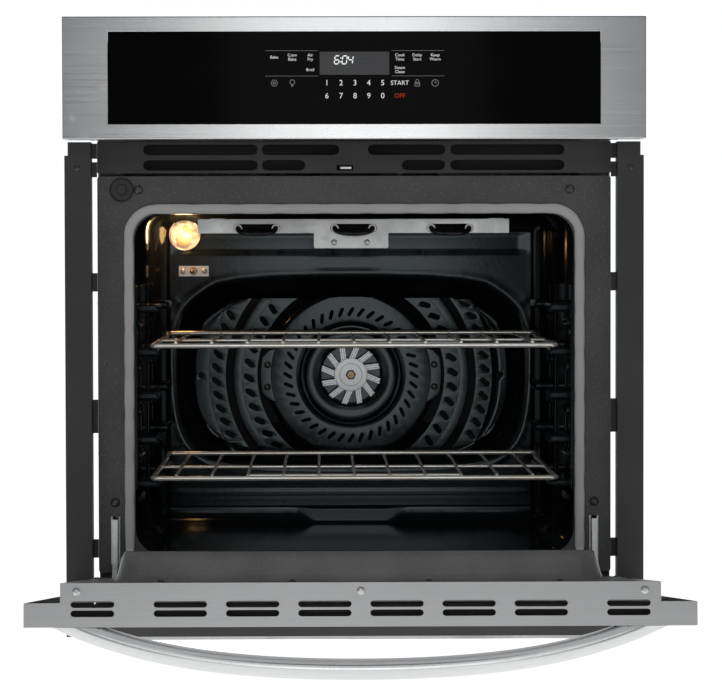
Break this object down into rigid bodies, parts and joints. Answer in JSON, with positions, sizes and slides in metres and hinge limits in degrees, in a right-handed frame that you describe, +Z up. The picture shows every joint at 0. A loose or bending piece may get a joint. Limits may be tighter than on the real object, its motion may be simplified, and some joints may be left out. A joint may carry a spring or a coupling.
{
  "type": "wall oven",
  "caption": "Built-in single wall oven with a drop-down door held open, sliding wire racks, a rear fan, a gasketed cavity and a flat glass touch-control panel.",
  "frame": {"origin": "middle of the width on the underside of the base pan, in the plane of the cabinet face that the trims rest against", "axes": "+Z up, the oven's front faces -Y, +X to the right of someone facing it"},
  "size_m": [0.686, 1.1317, 0.737],
  "materials": {
    "brushed_stainless": "brushed stainless steel, grain along the width",
    "galvanised_steel": "zinc-coated steel, dull",
    "aluminised_steel": "aluminised sheet steel, matt",
    "fan_steel": "bright pressed steel",
    "speckled_enamel": "dark grey enamel with fine pale specks",
    "cavity_enamel": "glossy blue-black enamel",
    "black_paint": "satin black paint",
    "chrome_wire": "bright plated wire",
    "black_glass": "black ceramic-printed glass",
    "clear_glass": "clear toughened glass",
    "lamp_glass": "moulded lamp glass, lit warm white",
    "woven_seal": "woven glass-fibre tube, light grey",
    "insulation_wool": "glass wool",
    "heater_sheath": "dark oxidised heater sheath",
    "black_plastic": "black moulded plastic",
    "circuit_board": "green circuit board"
  },
  "bodies": {
    "oven": {"bake_element": "heater_sheath", "base_pan": "aluminised_steel", "blower_housing": "aluminised_steel", "blower_motor": "black_plastic", "bottom_trim": "black_paint", "broil_bracket": "galvanised_steel", "broil_element": "heater_sheath", "cavity_gasket": "woven_seal", "cavity_liner": "cavity_enamel", "control_board": "circuit_board", "control_glass": "black_glass", "control_housing": "black_plastic", "control_trim": "brushed_stainless", "convection_element": "heater_sheath", "convection_motor": "aluminised_steel", "cooling_duct_floor": "aluminised_steel", "display_module": "black_plastic", "door_switch_bushing": "black_plastic", "fan_cover": "cavity_enamel", "front_frame": "speckled_enamel", "hinge_arm_left": "galvanised_steel", "hinge_arm_right": "galvanised_steel", "hinge_receiver_left": "galvanised_steel", "hinge_receiver_right": "galvanised_steel", "insulation_blanket": "insulation_wool", "lamp_bulb": "lamp_glass", "lamp_housing": "aluminised_steel", "lamp_lens": "lamp_glass", "latch_motor": "black_plastic", "rack_guide_left": "cavity_enamel", "rack_guide_right": "cavity_enamel", "rear_panel": "aluminised_steel", "side_panel_left": "aluminised_steel", "side_panel_right": "aluminised_steel", "side_trim_left": "black_paint", "side_trim_right": "black_paint", "temperature_sensor": "galvanised_steel", "terminal_box": "aluminised_steel", "toe_panel": "black_paint", "top_cover": "aluminised_steel", "vent_panel": "black_paint"},
    "door": {"door_skin": "brushed_stainless", "door_vent_trim": "brushed_stainless", "door_liner": "speckled_enamel", "door_toe_channel": "black_paint", "door_outer_glass": "black_glass", "door_middle_glass": "clear_glass", "door_inner_glass": "clear_glass", "door_window_frame": "aluminised_steel", "door_insulation": "insulation_wool", "door_handle": "brushed_stainless", "hinge_body_left": "galvanised_steel", "hinge_body_right": "galvanised_steel"},
    "rack_upper": {"rack_upper": "chrome_wire"},
    "rack_lower": {"rack_lower": "chrome_wire"},
    "convection_fan": {"convection_fan": "fan_steel"},
    "blower_wheel": {"blower_wheel": "aluminised_steel"},
    "door_switch_plunger": {"door_switch_plunger": "black_plastic"},
    "latch_hook": {"latch_hook": "galvanised_steel"}
  },
  "joints": [
    {"name": "door_hinge", "type": "hinge", "parent": "oven", "child": "door", "pos_m": [0, -0.011, 0.059], "axis": [1, 0, 0], "range_deg": [-84.5, 0]},
    {"name": "rack_upper_slide", "type": "slide", "parent": "oven", "child": "rack_upper", "axis": [0, -1, 0], "range_m": [0, 0.25]},
    {"name": "rack_lower_slide", "type": "slide", "parent": "oven", "child": "rack_lower", "axis": [0, -1, 0], "range_m": [0, 0.25]},
    {"name": "convection_fan_spin", "type": "hinge", "parent": "oven", "child": "convection_fan", "pos_m": [0, 0.49, 0.295], "axis": [0, -1, 0], "continuous": true},
    {"name": "blower_spin", "type": "hinge", "parent": "oven", "child": "blower_wheel", "pos_m": [0, 0.36, 0.5725], "axis": [0, 0, 1], "continuous": true},
    {"name": "door_switch_press", "type": "slide", "parent": "oven", "child": "door_switch_plunger", "axis": [0, 1, 0], "range_m": [0, 0.003], "stiffness_N_per_m": 300, "springref_m": -0.003},
    {"name": "latch_slide", "type": "slide", "parent": "oven", "child": "latch_hook", "axis": [0, -1, 0], "range_m": [0, 0.014]}
  ]
}
